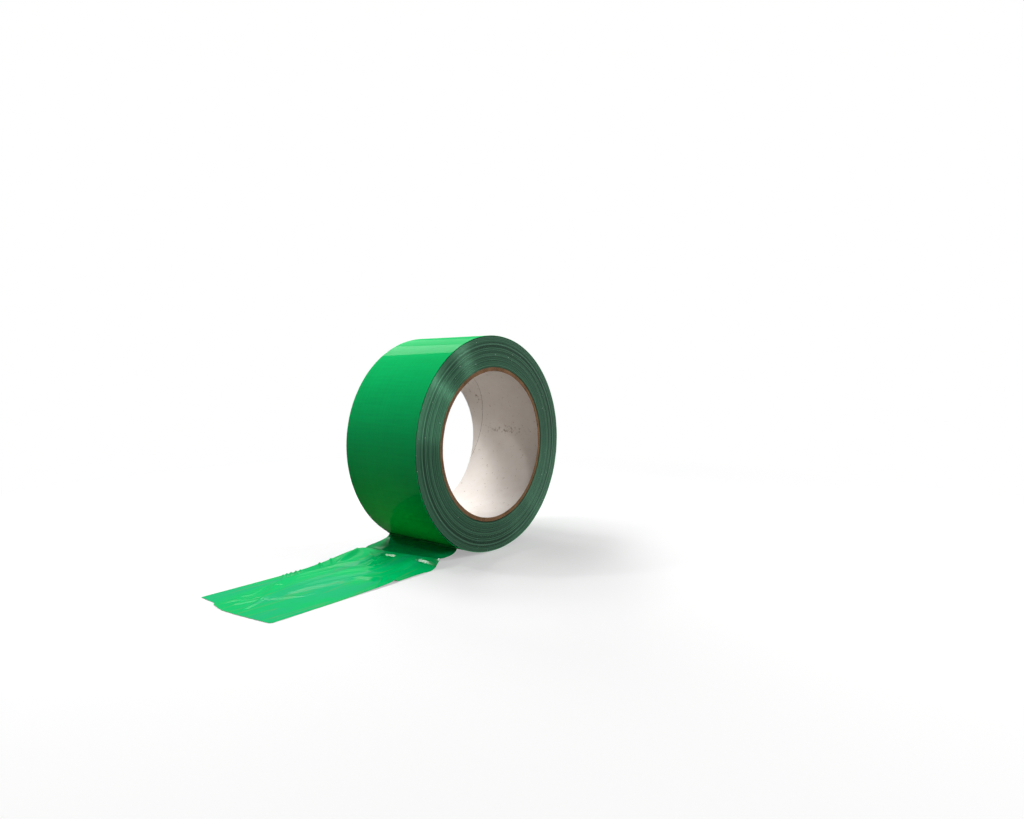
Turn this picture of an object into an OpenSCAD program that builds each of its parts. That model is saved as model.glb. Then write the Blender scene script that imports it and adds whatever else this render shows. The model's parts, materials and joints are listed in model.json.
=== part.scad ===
// Roll of wide packing tape on a paper core, standing on its rim, with a loose tail of film on the table.
// The roll's axis is Y and its bore centre is the origin. The tail runs towards -X. All sizes are millimetres.

/* [Core] */
// Bore of the paper core, which takes a dispenser hub
core_bore_d = 76.2; // [70:0.1:80]
// Thickness of the white paper that lines the bore
liner_t = 0.4; // [0.2:0.05:0.8]
// Thickness of each brown board ply
ply_t = 0.5; // [0.3:0.05:0.8]
// Glue line between neighbouring plies, and between the core and the tape
glue_t = 0.05; // [0.02:0.01:0.15]
// How far each end of the core lies inside the tape's end face
core_recess = 0.3; // [0.1:0.1:2]

/* [Tape] */
// Width of the tape
tape_w = 50; // [36:1:75]
// Diameter over the last turn, where it ends
roll_d = 113.4; // [104:0.2:150]
// Thickness that the film is drawn with
film_t = 0.2; // [0.1:0.05:0.4]
// Clearance between the last turn and the turns under it
wrap_gap = 0.05; // [0.02:0.01:0.2]
// Arc that the last turn stops short of a whole turn
seam_arc = 6; // [3:0.5:12]
// Depth of the flat that the last turn is pressed to where the roll stands
foot_depth = 0.5; // [0.3:0.1:1]

/* [Peeled film] */
// Angle round the roll from its foot up to the line where the film peels off
peel_deg = 31; // [20:1:45]
// Clearance between the turning roll and the peeled film
peel_gap = 0.3; // [0.2:0.05:0.6]
// Slope below level at which the film leaves the peel line
peel_drop_deg = 70; // [50:1:85]
// Length over which the film leaves the peel line before it bends
peel_pull = 2.7; // [1.5:0.1:4]
// Height that the trough between the peel line and the crease dips to
trough_h = 4; // [2:0.1:6]
// Distance from the peel line to the crease, along the table, at the front edge
crease_run_front = 11.7; // [8:0.1:20]
// Distance from the peel line to the crease, along the table, at the back edge
crease_run_back = 17.8; // [8:0.1:24]
// Height of the crease at the front edge
crease_h_front = 4.6; // [2:0.1:8]
// Height of the crease at the back edge
crease_h_back = 3.4; // [2:0.1:8]
// Height that the film heads for just past the crease at the front edge
fall_h_front = 1.9; // [0.5:0.1:4]
// Height that the film heads for just past the crease at the back edge
fall_h_back = 4; // [0.5:0.1:6]
// Distance from the crease to where the front edge lies on the table
fall_run_front = 9.2; // [6:0.1:30]
// Distance from the crease to where the back edge lies on the table
fall_run_back = 45; // [30:0.5:60]

/* [Loose end] */
// Flat film between the last lifted point and the first bend line
flat_run = 1; // [0.5:0.1:10]
// Distance from one bend line to the next
bend_step = 13; // [8:0.5:25]
// Gap along each bend line
bend_gap = 0.3; // [0.2:0.05:0.6]
// Length from the last bend line to the torn end, at the front edge
end_l = 12; // [8:0.1:30]
// How far the tongue of the torn end stands out
tongue_l = 4; // [1:0.1:6]
// Distance of the tongue's tip from the front edge
tongue_y = 28; // [20:0.5:30]
// How far the nick in the torn end stands out
nick_l = 1.5; // [0.5:0.1:3]
// Distance of the nick from the back edge
nick_y = 10; // [4:0.5:14]

/* [Hidden] */
$fn = 128;

// Wound tape: radii of the last turn and of the turns under it, and the table that the roll stands on
roll_r = roll_d / 2;
pack_r = roll_r - 2 * film_t - wrap_gap;
table_z = -(roll_r - film_t - foot_depth);
seam_deg = seam_arc / roll_r * 180 / PI;

// Core: inner radius of each ply from the bore outwards, and the core's length
bore_r = core_bore_d / 2;
ply_step = ply_t + glue_t;
inner_ply_r = bore_r + liner_t + glue_t;
middle_ply_r = inner_ply_r + ply_step;
outer_ply_r = middle_ply_r + ply_step;
pack_bore_r = outer_ply_r + ply_step;
core_l = tape_w - 2 * core_recess;

// Cuts run past the faces that they open by this much
cut_over = 1;

// Film profiles are points of [distance from the axis towards -X, height over the table]
peel_r = roll_r + peel_gap;
peel_point = [peel_r * sin(peel_deg), -peel_r * cos(peel_deg) - table_z];
// Share of each run that a curve's handles take up
handle = 0.5;
aim = 0.27;
curve_steps = 10;
width_steps = 10;

// Bend lines of the loose end, as distances from the axis
bend_1 = peel_point.x + max(crease_run_front + fall_run_front, crease_run_back + fall_run_back) + flat_run;
bend_2 = bend_1 + bend_step;
bend_3 = bend_2 + bend_step;

function mix(a, b, t) = a + (b - a) * t;
function bezier(a, b, c, d, t) =
  a * pow(1 - t, 3) + b * 3 * t * pow(1 - t, 2) + c * 3 * t * t * (1 - t) + d * pow(t, 3);

// The film's underside across its width: v is 0 at the front edge and 1 at the back
function crease_at(v) = [
  peel_point.x + mix(crease_run_front, crease_run_back, v),
  mix(crease_h_front, crease_h_back, v)
];
function fall_run_at(v) = mix(fall_run_front, fall_run_back, v);
function bend_point(v, t) =
  let (crease = crease_at(v), run = crease.x - peel_point.x)
  bezier(
    peel_point,
    peel_point + peel_pull * [cos(peel_drop_deg), -sin(peel_drop_deg)],
    [crease.x - handle * run, trough_h],
    crease,
    t
  );
function fall_point(v, t) =
  let (crease = crease_at(v), run = fall_run_at(v))
  bezier(
    crease,
    [crease.x + aim * run, mix(fall_h_front, fall_h_back, v)],
    [crease.x + (1 - handle) * run, 0],
    [crease.x + run, 0],
    t
  );
function film_line(v) = concat(
  [for (i = [0:curve_steps - 1]) bend_point(v, i / curve_steps)],
  [for (i = [0:curve_steps]) fall_point(v, i / curve_steps)],
  [[bend_1 - bend_gap / 2, 0]]
);

// The film's upper side stands one film thickness off its underside, square to the line there
function unit(a) = a / norm(a);
function upper_line(line) = [
  for (i = [0:len(line) - 1])
    let (
      before = line[max(i - 1, 0)],
      after = line[min(i + 1, len(line) - 1)],
      along = unit(after - before)
    )
    line[i] + film_t * (i == len(line) - 1 ? [0, 1] : [-along.y, along.x])
];

// A sheet from rows of profiles: each row is its underside followed by its upper side in reverse, and
// neighbouring rows are joined round the loop
function reversed(list) = [for (i = [len(list) - 1:-1:0]) list[i]];
function film_loop(v) = let (line = film_line(v)) concat(line, reversed(upper_line(line)));

module film_sheet() {
  rows = [for (j = [0:width_steps]) film_loop(j / width_steps)];
  loop_n = len(rows[0]);
  half_n = loop_n / 2;
  points = [
    for (j = [0:width_steps])
      for (p = rows[j]) [-p.x, mix(-tape_w, tape_w, j / width_steps) / 2, table_z + p.y]
  ];
  skin = [
    for (j = [0:width_steps - 1])
      for (i = [0:loop_n - 1])
        let (a = j * loop_n + i, b = j * loop_n + (i + 1) % loop_n)
        each [[a, a + loop_n, b], [b, a + loop_n, b + loop_n]]
  ];
  // Each side edge is a strip between the underside and the upper side
  side = [
    for (i = [0:half_n - 2])
      each [[i, i + 1, loop_n - 1 - i], [i + 1, loop_n - 2 - i, loop_n - 1 - i]]
  ];
  last = width_steps * loop_n;
  polyhedron(
    points = points,
    faces = concat(skin, side, [for (f = side) [f[2] + last, f[1] + last, f[0] + last]]),
    convexity = 6
  );
}

// The last turn, seen from the front, with the peel line on the local +X axis: two half rings with
// shifted centres make a spiral that closes in by one film thickness in a turn
module half_ring(outer_r, shift, low) {
  intersection() {
    translate([-shift, 0])
      difference() {
        circle(r = outer_r);
        circle(r = outer_r - film_t);
      }
    translate([-roll_d, low]) square([2 * roll_d, roll_d]);
  }
}

module spiral_turn() {
  difference() {
    union() {
      half_ring(roll_r, 0, -roll_d);
      half_ring(roll_r - film_t / 2, film_t / 2, 0);
    }
    polygon([[0, 0], [roll_d, 0], [roll_d, roll_d * tan(seam_deg)]]);
  }
}

module above(z) {
  translate([-roll_d, z]) square([2 * roll_d, 2 * roll_d]);
}

// Extrudes a shape drawn in the X and Z plane, centred across the width
module across(width) {
  rotate([90, 0, 0]) linear_extrude(height = width, center = true) children();
}

// Points along the middle of the last turn, to measure how near it comes to itself
turn_step = 3;
turn_points = [
  for (a = [0:turn_step:360 - seam_deg])
    let (second = a >= 180, r = roll_r - film_t / 2 - (second ? film_t / 2 : 0))
    [r * cos(-a) - (second ? film_t / 2 : 0), r * sin(-a)]
];
far_apart = 30;
turn_gap = min([
  for (i = [0:len(turn_points) - 1])
    for (j = [i + 1:1:len(turn_points) - 1])
      if (j - i > far_apart) norm(turn_points[i] - turn_points[j]) - film_t
]);
echo(outer_turn_least_gap = turn_gap);

module ply(inner_r, thickness) {
  rotate([90, 0, 0])
    difference() {
      cylinder(r = inner_r + thickness, h = core_l, center = true);
      cylinder(r = inner_r, h = core_l + 2 * cut_over, center = true);
    }
}

module core_liner() {
  color("whitesmoke") ply(bore_r, liner_t);
}

module core_inner_ply() {
  color("tan") ply(inner_ply_r, ply_t);
}

module core_middle_ply() {
  color("peru") ply(middle_ply_r, ply_t);
}

module core_outer_ply() {
  color("sienna") ply(outer_ply_r, ply_t);
}

// The wound turns, with the flat that the foot of the roll is pressed to
module tape_pack() {
  color("darkslategray")
    across(tape_w)
      difference() {
        intersection() {
          circle(r = pack_r);
          above(table_z + film_t + wrap_gap);
        }
        circle(r = pack_bore_r);
      }
}

module outer_turn() {
  color("green")
    across(tape_w)
      intersection() {
        union() {
          rotate(270 - peel_deg) spiral_turn();
          // The pressed stretch of film at the foot
          intersection() {
            circle(r = roll_r - film_t);
            translate([-roll_r, table_z]) square([roll_d, film_t]);
          }
        }
        above(table_z);
      }
}

module tail_root() {
  color("mediumseagreen") film_sheet();
}

// A flat length of film on the table between two bend lines
module flat_film(from, to) {
  translate([-to + bend_gap / 2, -tape_w / 2, table_z]) cube([to - from - bend_gap, tape_w, film_t]);
}

module tail_near() {
  color("limegreen") flat_film(bend_1, bend_2);
}

module tail_mid() {
  color("mediumseagreen") flat_film(bend_2, bend_3);
}

module tail_tip() {
  start = bend_3 + bend_gap / 2;
  front_end = bend_3 + end_l;
  front = -tape_w / 2;
  back = tape_w / 2;
  color("limegreen")
    translate([0, 0, table_z])
      linear_extrude(height = film_t)
        polygon([
          [-start, front],
          [-start, back],
          [-front_end - nick_l, back],
          [-front_end - nick_l, back - nick_y],
          [-front_end - (nick_l + tongue_l) / 2, back - nick_y - nick_l],
          [-front_end - tongue_l, front + tongue_y],
          [-front_end, front]
        ]);
}

core_liner();
core_inner_ply();
core_middle_ply();
core_outer_ply();
tape_pack();
outer_turn();
tail_root();
tail_near();
tail_mid();
tail_tip();
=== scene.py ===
"""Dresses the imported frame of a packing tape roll: film wound on a paper core, with a loose tail of film.

The roll's axis is Y, the bore's centre is the origin and the tail runs towards -X. Sizes here are in
millimetres, and they become metres where a mesh is made. A run is a distance from the axis towards -X.
"""

from __future__ import annotations

import json
import logging
import math
from dataclasses import dataclass
from enum import Enum

import bpy
import numpy as np
from mathutils import Matrix, Vector

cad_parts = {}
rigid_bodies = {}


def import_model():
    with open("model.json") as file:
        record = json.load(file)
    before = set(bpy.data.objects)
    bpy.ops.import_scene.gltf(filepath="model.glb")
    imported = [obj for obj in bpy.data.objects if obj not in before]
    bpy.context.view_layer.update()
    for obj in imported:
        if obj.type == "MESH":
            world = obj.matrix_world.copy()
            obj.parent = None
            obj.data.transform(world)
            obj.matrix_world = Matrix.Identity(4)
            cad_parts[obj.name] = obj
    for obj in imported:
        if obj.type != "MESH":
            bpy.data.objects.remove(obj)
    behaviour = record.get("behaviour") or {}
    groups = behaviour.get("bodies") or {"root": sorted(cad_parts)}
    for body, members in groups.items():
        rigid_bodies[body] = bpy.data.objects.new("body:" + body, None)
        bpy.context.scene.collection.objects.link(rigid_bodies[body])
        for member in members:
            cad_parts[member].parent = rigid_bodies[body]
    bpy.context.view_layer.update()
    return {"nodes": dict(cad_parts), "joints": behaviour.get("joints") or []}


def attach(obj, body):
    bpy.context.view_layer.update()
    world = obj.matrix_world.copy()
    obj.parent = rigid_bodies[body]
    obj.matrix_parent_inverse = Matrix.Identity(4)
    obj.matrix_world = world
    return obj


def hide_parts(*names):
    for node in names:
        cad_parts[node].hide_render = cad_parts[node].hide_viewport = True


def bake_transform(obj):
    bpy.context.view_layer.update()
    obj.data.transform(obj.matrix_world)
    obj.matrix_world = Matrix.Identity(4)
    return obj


LOG = logging.getLogger("tape_roll")
MM = 0.001
FLAT_UV = "flat_mm"
RING_UV = "ring"
LAY_RADIUS = "lay_radius"
ALONG = "along"
WHITE = "#FFFFFF"
SHARP_RIM_DEG = 32.0
FULL_TURN = 2 * math.pi

Pair = tuple[float, float]
Triple = tuple[float, float, float]
Socket = bpy.types.NodeSocket


class Body(Enum):
    """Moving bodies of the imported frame."""

    PEELED_FILM = "peeled_film"
    ROLL = "roll"
    END_NEAR = "end_near"
    END_MID = "end_mid"
    END_TIP = "end_tip"


class Slot(Enum):
    """Material slots of the record."""

    LINER_PAPER = "liner_paper"
    CORE_BOARD = "core_board"
    WOUND_EDGE = "wound_edge"
    TAPE_FILM = "tape_film"


def linear(code: str) -> tuple[float, float, float, float]:
    """Turns an sRGB hex colour into a linear one.

    Args:
        code: Colour such as "#04C463".
    Returns:
        Red, green, blue and a full alpha.
    """
    parts = [int(code[i : i + 2], 16) / 255 for i in (1, 3, 5)]
    return (*(p / 12.92 if p <= 0.04045 else ((p + 0.055) / 1.055) ** 2.4 for p in parts), 1.0)


def find_socket(sockets: bpy.types.bpy_prop_collection, key: str | int) -> Socket:
    """Finds a node's socket by its place, its identifier or its name."""
    if isinstance(key, int):
        return sockets[key]
    return next((s for s in sockets if s.identifier == key), None) or sockets[key]


def fill(node: bpy.types.Node, inputs: dict[str | int, object]) -> None:
    """Sets a node's inputs, and links those whose value is another node's output.

    Args:
        node: Node to fill.
        inputs: A value or an output for each input, by name, identifier or place.
    """
    for key, value in inputs.items():
        target = find_socket(node.inputs, key)
        if isinstance(value, Socket):
            node.id_data.links.new(value, target)
        else:
            target.default_value = value


def add_node(
    tree: bpy.types.NodeTree,
    kind: str,
    inputs: dict[str | int, object] | None = None,
    output: str | int = 0,
    **settings: object,
) -> Socket | None:
    """Adds one node, applies its settings and fills its inputs.

    Args:
        tree: Tree that takes the node.
        kind: Blender's type name of the node.
        inputs: Values and outputs for its inputs; see fill.
        output: Which output to hand back.
        settings: Properties of the node.
    Returns:
        The chosen output, or None for a node that has none.
    """
    node = tree.nodes.new(kind)
    for name, value in settings.items():
        setattr(node, name, value)
    fill(node, inputs or {})
    return find_socket(node.outputs, output) if len(node.outputs) else None


class NodeBench:
    """A node tree, with short ways to add the nodes that several pieces use."""

    def __init__(self, tree: bpy.types.NodeTree) -> None:
        """Takes the tree to add to."""
        self.tree = tree

    def node(
        self, kind: str, inputs: dict | None = None, output: str | int = 0, **settings: object
    ) -> Socket | None:
        """Adds a node to this tree; see add_node."""
        return add_node(self.tree, kind, inputs, output, **settings)

    def place(self) -> Socket:
        """Place on the object, in metres."""
        return self.node("ShaderNodeTexCoord", output="Object")

    def flat(self) -> Socket:
        """Place on the flat film or paper, in millimetres."""
        return self.node("ShaderNodeUVMap", uv_map=FLAT_UV)

    def math(self, operation: str, *values: float | Socket) -> Socket:
        """A number worked out from one, two or three others."""
        return self.node("ShaderNodeMath", dict(enumerate(values)), operation=operation)

    def length(self, vector: Socket) -> Socket:
        """Length of a vector."""
        return self.node("ShaderNodeVectorMath", {0: vector}, output="Value", operation="LENGTH")

    def across_axis(self, vector: Socket, keep: Triple) -> Socket:
        """Distance from an axis: the vector's length in the two directions that keep names with a 1."""
        kept = self.node("ShaderNodeVectorMath", {0: vector, 1: keep}, operation="MULTIPLY")
        return self.length(kept)

    def stretched(self, flat: Socket, along: float, across: float) -> Socket:
        """Places for a pattern with features of these sizes along and across the film."""
        return self.node("ShaderNodeMapping", {"Vector": flat, "Scale": (1 / along, 1 / across, 1)})

    def noise(
        self,
        where: Socket,
        size: float = 1.0,
        detail: float = 2.0,
        roughness: float = 0.5,
        distortion: float = 0.0,
    ) -> Socket:
        """Cloudy values round 0.5.

        Args:
            where: Places to read it at.
            size: Size of its features, in the unit of the places.
            detail: Number of finer layers.
            roughness: How strong the finer layers are.
            distortion: How far the features are swirled.
        Returns:
            The value.
        """
        inputs = {"Vector": where, "Scale": 1 / size, "Detail": detail}
        inputs |= {"Roughness": roughness, "Distortion": distortion}
        return self.node("ShaderNodeTexNoise", inputs)

    def ramp(self, value: Socket, span: tuple, to: tuple = (0.0, 1.0), **settings: object) -> Socket:
        """Maps a span of a value to another span, and holds it past the ends.

        Args:
            value: What to map.
            span: Its values at the start and the end.
            to: Results at the start and the end.
            settings: Properties of the node.
        Returns:
            The result.
        """
        ends = {"From Min": span[0], "From Max": span[1], "To Min": to[0], "To Max": to[1]}
        return self.node("ShaderNodeMapRange", {"Value": value, **ends}, **settings)

    def mix(self, share: Socket, first: str | Socket, second: str) -> Socket:
        """Goes from one colour to another.

        Args:
            share: How much there is of the second.
            first: Hex colour or a colour made before.
            second: Hex colour.
        Returns:
            The colour.
        """
        start = linear(first) if isinstance(first, str) else first
        colours = {"Factor_Float": share, "A_Color": start, "B_Color": linear(second)}
        return self.node("ShaderNodeMix", colours, output="Result_Color", data_type="RGBA")

    def bump(self, height: Socket, relief: Pair) -> Socket:
        """Directions of a surface with that relief: its strength, and its depth in millimetres."""
        inputs = {"Height": height, "Strength": relief[0], "Distance": relief[1] * MM}
        return self.node("ShaderNodeBump", inputs)


def between(ends: Pair, share: np.ndarray | float) -> np.ndarray | float:
    """Value at a share of the way from the first end to the second."""
    return ends[0] + (ends[1] - ends[0]) * share


def bezier(a: np.ndarray, b: np.ndarray, c: np.ndarray, d: np.ndarray, t: np.ndarray) -> np.ndarray:
    """Points of a cubic curve with ends a and d and handles b and c, at the shares t."""
    s = 1 - t
    return a * s**3 + 3 * b * t * s**2 + 3 * c * t**2 * s + d * t**3


def smooth_step(value: np.ndarray, low: float, high: float) -> np.ndarray:
    """Rises smoothly from 0 at low to 1 at high."""
    t = np.clip((value - low) / (high - low), 0, 1)
    return t * t * (3 - 2 * t)


def ring_points(radius: np.ndarray, angle: np.ndarray, y: np.ndarray) -> np.ndarray:
    """Points round the roll's axis, from their radii, angles and places along it."""
    return np.stack(np.broadcast_arrays(radius * np.cos(angle), y, radius * np.sin(angle)), -1)


@dataclass(frozen=True)
class Ripple:
    """Soft unevenness: a fixed sum of plane waves with no grid of its own."""

    seed: int
    shortest: Pair
    longest: Pair
    waves: int = 14
    # Divides the sum so that nearly all of it lies between 0 and 1
    spread: float = 3.2

    def at(self, x: np.ndarray, y: np.ndarray) -> np.ndarray:
        """Values between about 0 and 1 at the points x, y.

        Args:
            x: First coordinate in millimetres.
            y: Second coordinate in millimetres.
        Returns:
            An array of the same shape.
        """
        draw = np.random.default_rng(self.seed)
        total = np.zeros(np.broadcast(x, y).shape)
        for _ in range(self.waves):
            wave_x = draw.uniform(self.shortest[0], self.longest[0]) * draw.choice((-1, 1))
            wave_y = draw.uniform(self.shortest[1], self.longest[1])
            total += np.cos(FULL_TURN * (x / wave_x + y / wave_y) + draw.uniform(0, FULL_TURN))
        return np.clip(0.5 + total / math.sqrt(self.waves) / self.spread, 0, 1)


@dataclass(frozen=True)
class RollSizes:
    """Sizes that the pieces of the roll share."""

    bore_r: float = 38.1
    liner_t: float = 0.4
    board_r: float = 38.55
    pack_bore_r: float = 40.2
    roll_r: float = 56.7
    tape_w: float = 50.0
    core_l: float = 49.4
    # The real film is 0.05 mm; the loose film is drawn twice and the turns five times as thick, to show
    film_t: float = 0.1
    turns: int = 65
    peel_deg: float = 31.0
    table_z: float = -56.0
    press_start: float = 46.0

    @property
    def pitch(self) -> float:
        """Radius that one turn adds."""
        return (self.roll_r - self.pack_bore_r) / self.turns

    @property
    def half_w(self) -> float:
        """Half of the tape's width."""
        return self.tape_w / 2

    @property
    def peel_angle(self) -> float:
        """Angle of the peel line in degrees, from +X towards +Z."""
        return 270 - self.peel_deg

    @property
    def press_span(self) -> float:
        """Height over which the foot of the roll is squeezed."""
        return self.roll_r - self.press_start

    @property
    def press_rise(self) -> float:
        """How far the lowest point is raised."""
        return self.roll_r + self.table_z

    def pressed(self, points: np.ndarray) -> np.ndarray:
        """Squeezes the foot of the roll up to the table.

        Args:
            points: Places in millimetres.
        Returns:
            The same places with the lowest ones raised.
        """
        depth = np.maximum(-points[..., 2] - self.press_start, 0) / self.press_span
        squeezed = points.copy()
        squeezed[..., 2] += self.press_rise * depth**2
        return squeezed


class Finish:
    """A surface: what the real material is, how its face was made, and a shader that shows it."""

    name: str = "finish"

    def shade(self, nodes: NodeBench) -> dict[str, object]:
        """Makes the patterns.

        Args:
            nodes: The material's node tree.
        Returns:
            A value or a pattern for each input of the shader that the finish sets.
        """
        raise NotImplementedError

    def material(self) -> bpy.types.Material:
        """Makes the material at the first call and hands back the same one later."""
        known = bpy.data.materials.get(self.name)
        if known:
            return known
        made = bpy.data.materials.new(self.name)
        made.use_nodes = True
        fill(made.node_tree.nodes["Principled BSDF"], self.shade(NodeBench(made.node_tree)))
        return made


@dataclass(frozen=True)
class WoundFilm(Finish):
    """Green polypropylene film, cast, stretched and wound tight.

    The pigment sits under a clear glossy face, so the colour is deep and the reflections are pale. Drawing
    the film leaves fine lines round the roll, and winding leaves faint ones across it. The real lines are
    about 0.1 mm apart; they are drawn coarser so that they show.
    """

    name: str = "polypropylene_film_wound"
    deep: str = "#00BA62"
    bright: str = "#00D874"
    line_gap: float = 0.6
    line_length: float = 60.0
    cross_gap: float = 1.3
    cross_length: float = 22.0
    line_detail: float = 4.0
    mottle: float = 14.0
    cloud_share: float = 0.4
    tone_half: float = 0.7
    hatch_span: Pair = (0.6, 1.4)
    roughness: Pair = (0.34, 0.46)
    relief: Pair = (0.25, 0.02)
    coat: Pair = (0.07, 0.045)

    def shade(self, nodes: NodeBench) -> dict[str, object]:
        """See the class."""
        flat = nodes.flat()
        along = nodes.stretched(flat, self.line_length, self.line_gap)
        across = nodes.stretched(flat, self.cross_gap, self.cross_length)
        lines = nodes.noise(along, detail=self.line_detail)
        cross = nodes.noise(across, detail=self.line_detail)
        hatch = nodes.math("ADD", lines, cross)
        tone = nodes.math("MULTIPLY_ADD", nodes.noise(flat, self.mottle), self.cloud_share, hatch)
        middle = 1 + self.cloud_share / 2
        share = nodes.ramp(tone, (middle - self.tone_half, middle + self.tone_half))
        grain = nodes.bump(hatch, self.relief)
        return {
            "Base Color": nodes.mix(share, self.deep, self.bright),
            "Roughness": nodes.ramp(hatch, self.hatch_span, self.roughness),
            "Normal": grain,
            "Coat Normal": grain,
            "Specular IOR Level": 0.0,
            "Coat Weight": self.coat[0],
            "Coat Roughness": self.coat[1],
        }


@dataclass(frozen=True)
class LaidFilm(Finish):
    """The same green film, pulled off the roll, stretched, creased and laid down.

    Where air lies under the film it looks paler in feathered patches. Stretching leaves fine ridges that run
    along the tape; their reflections are painted in as olive lines, drawn about three times as wide as real
    ones so that they show. Before the crease the film is painted deeper: painted shade for the trough under
    the roll, where no table under the film sends light back through it.
    """

    crease_run: float
    crease_skew: float
    name: str = "polypropylene_film_laid"
    vivid: str = "#00C66C"
    pale: str = "#14BE78"
    # Painted shade: the green that the film is given before the crease, under the roll
    deep: str = "#009751"
    # Painted reflection: olive of the fine stretch ridges along the tape
    hairline_reflection: str = "#6E9F58"
    patch_length: float = 60.0
    patch_width: float = 13.0
    patch_detail: float = 4.0
    patch_swirl: float = 0.6
    air_span: Pair = (0.46, 0.56)
    hair_length: float = 110.0
    hair_gap: float = 10.0
    hair_detail: float = 3.0
    hair_swirl: float = 0.35
    hair_w: float = 0.016
    hair_strength: float = 0.32
    hair_start: Pair = (46.0, 52.0)
    painted_shade_edge_w: float = 0.3
    roughness: float = 0.4
    relief: Pair = (0.25, 0.1)
    coat: Pair = (0.1, 0.115)

    def shade(self, nodes: NodeBench) -> dict[str, object]:
        """See the class."""
        flat = nodes.flat()
        feather = nodes.stretched(flat, self.patch_length, self.patch_width)
        patch = nodes.noise(feather, detail=self.patch_detail, distortion=self.patch_swirl)
        colour = nodes.mix(nodes.ramp(patch, self.air_span), self.vivid, self.pale)
        strands = nodes.stretched(flat, self.hair_length, self.hair_gap)
        strand = nodes.noise(strands, detail=self.hair_detail, distortion=self.hair_swirl)
        # Painted reflection: a fine stripe follows each line along which the noise is at its middle value
        off_line = nodes.math("ABSOLUTE", nodes.math("SUBTRACT", strand, 0.5))
        run = nodes.node("ShaderNodeSeparateXYZ", {0: flat}, output="X")
        strength = nodes.ramp(run, self.hair_start, (0.0, self.hair_strength))
        hair = nodes.ramp(off_line, (0.0, self.hair_w), (strength, 0.0))
        colour = nodes.mix(hair, colour, self.hairline_reflection)
        # Painted shade: before the crease line the colour is mixed towards the deeper green
        across_crease = {0: flat, 1: (1.0, -self.crease_skew, 0.0)}
        past = nodes.node("ShaderNodeVectorMath", across_crease, "Value", operation="DOT_PRODUCT")
        raised = nodes.ramp(past, (self.crease_run + self.painted_shade_edge_w, self.crease_run))
        grain = nodes.bump(patch, self.relief)
        return {
            "Base Color": nodes.mix(raised, colour, self.deep),
            "Normal": grain,
            "Coat Normal": grain,
            "Roughness": self.roughness,
            "Specular IOR Level": 0.0,
            "Coat Weight": self.coat[0],
            "Coat Roughness": self.coat[1],
        }


@dataclass(frozen=True)
class AdhesiveFace(Finish):
    """Acrylic adhesive, coated on the film's underside: a soft satin face with faint coating streaks."""

    name: str = "acrylic_adhesive_coated"
    thick: str = "#1FA565"
    thin: str = "#43BE82"
    streak_gap: float = 2.2
    streak_length: float = 45.0
    streak_detail: float = 5.0
    streak_span: Pair = (0.35, 0.65)
    roughness: float = 0.5
    sheen: float = 0.2

    def shade(self, nodes: NodeBench) -> dict[str, object]:
        """See the class."""
        along = nodes.stretched(nodes.flat(), self.streak_length, self.streak_gap)
        streaks = nodes.noise(along, detail=self.streak_detail)
        share = nodes.ramp(streaks, self.streak_span)
        return {
            "Base Color": nodes.mix(share, self.thick, self.thin),
            "Roughness": self.roughness,
            "Specular IOR Level": self.sheen,
        }


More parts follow.
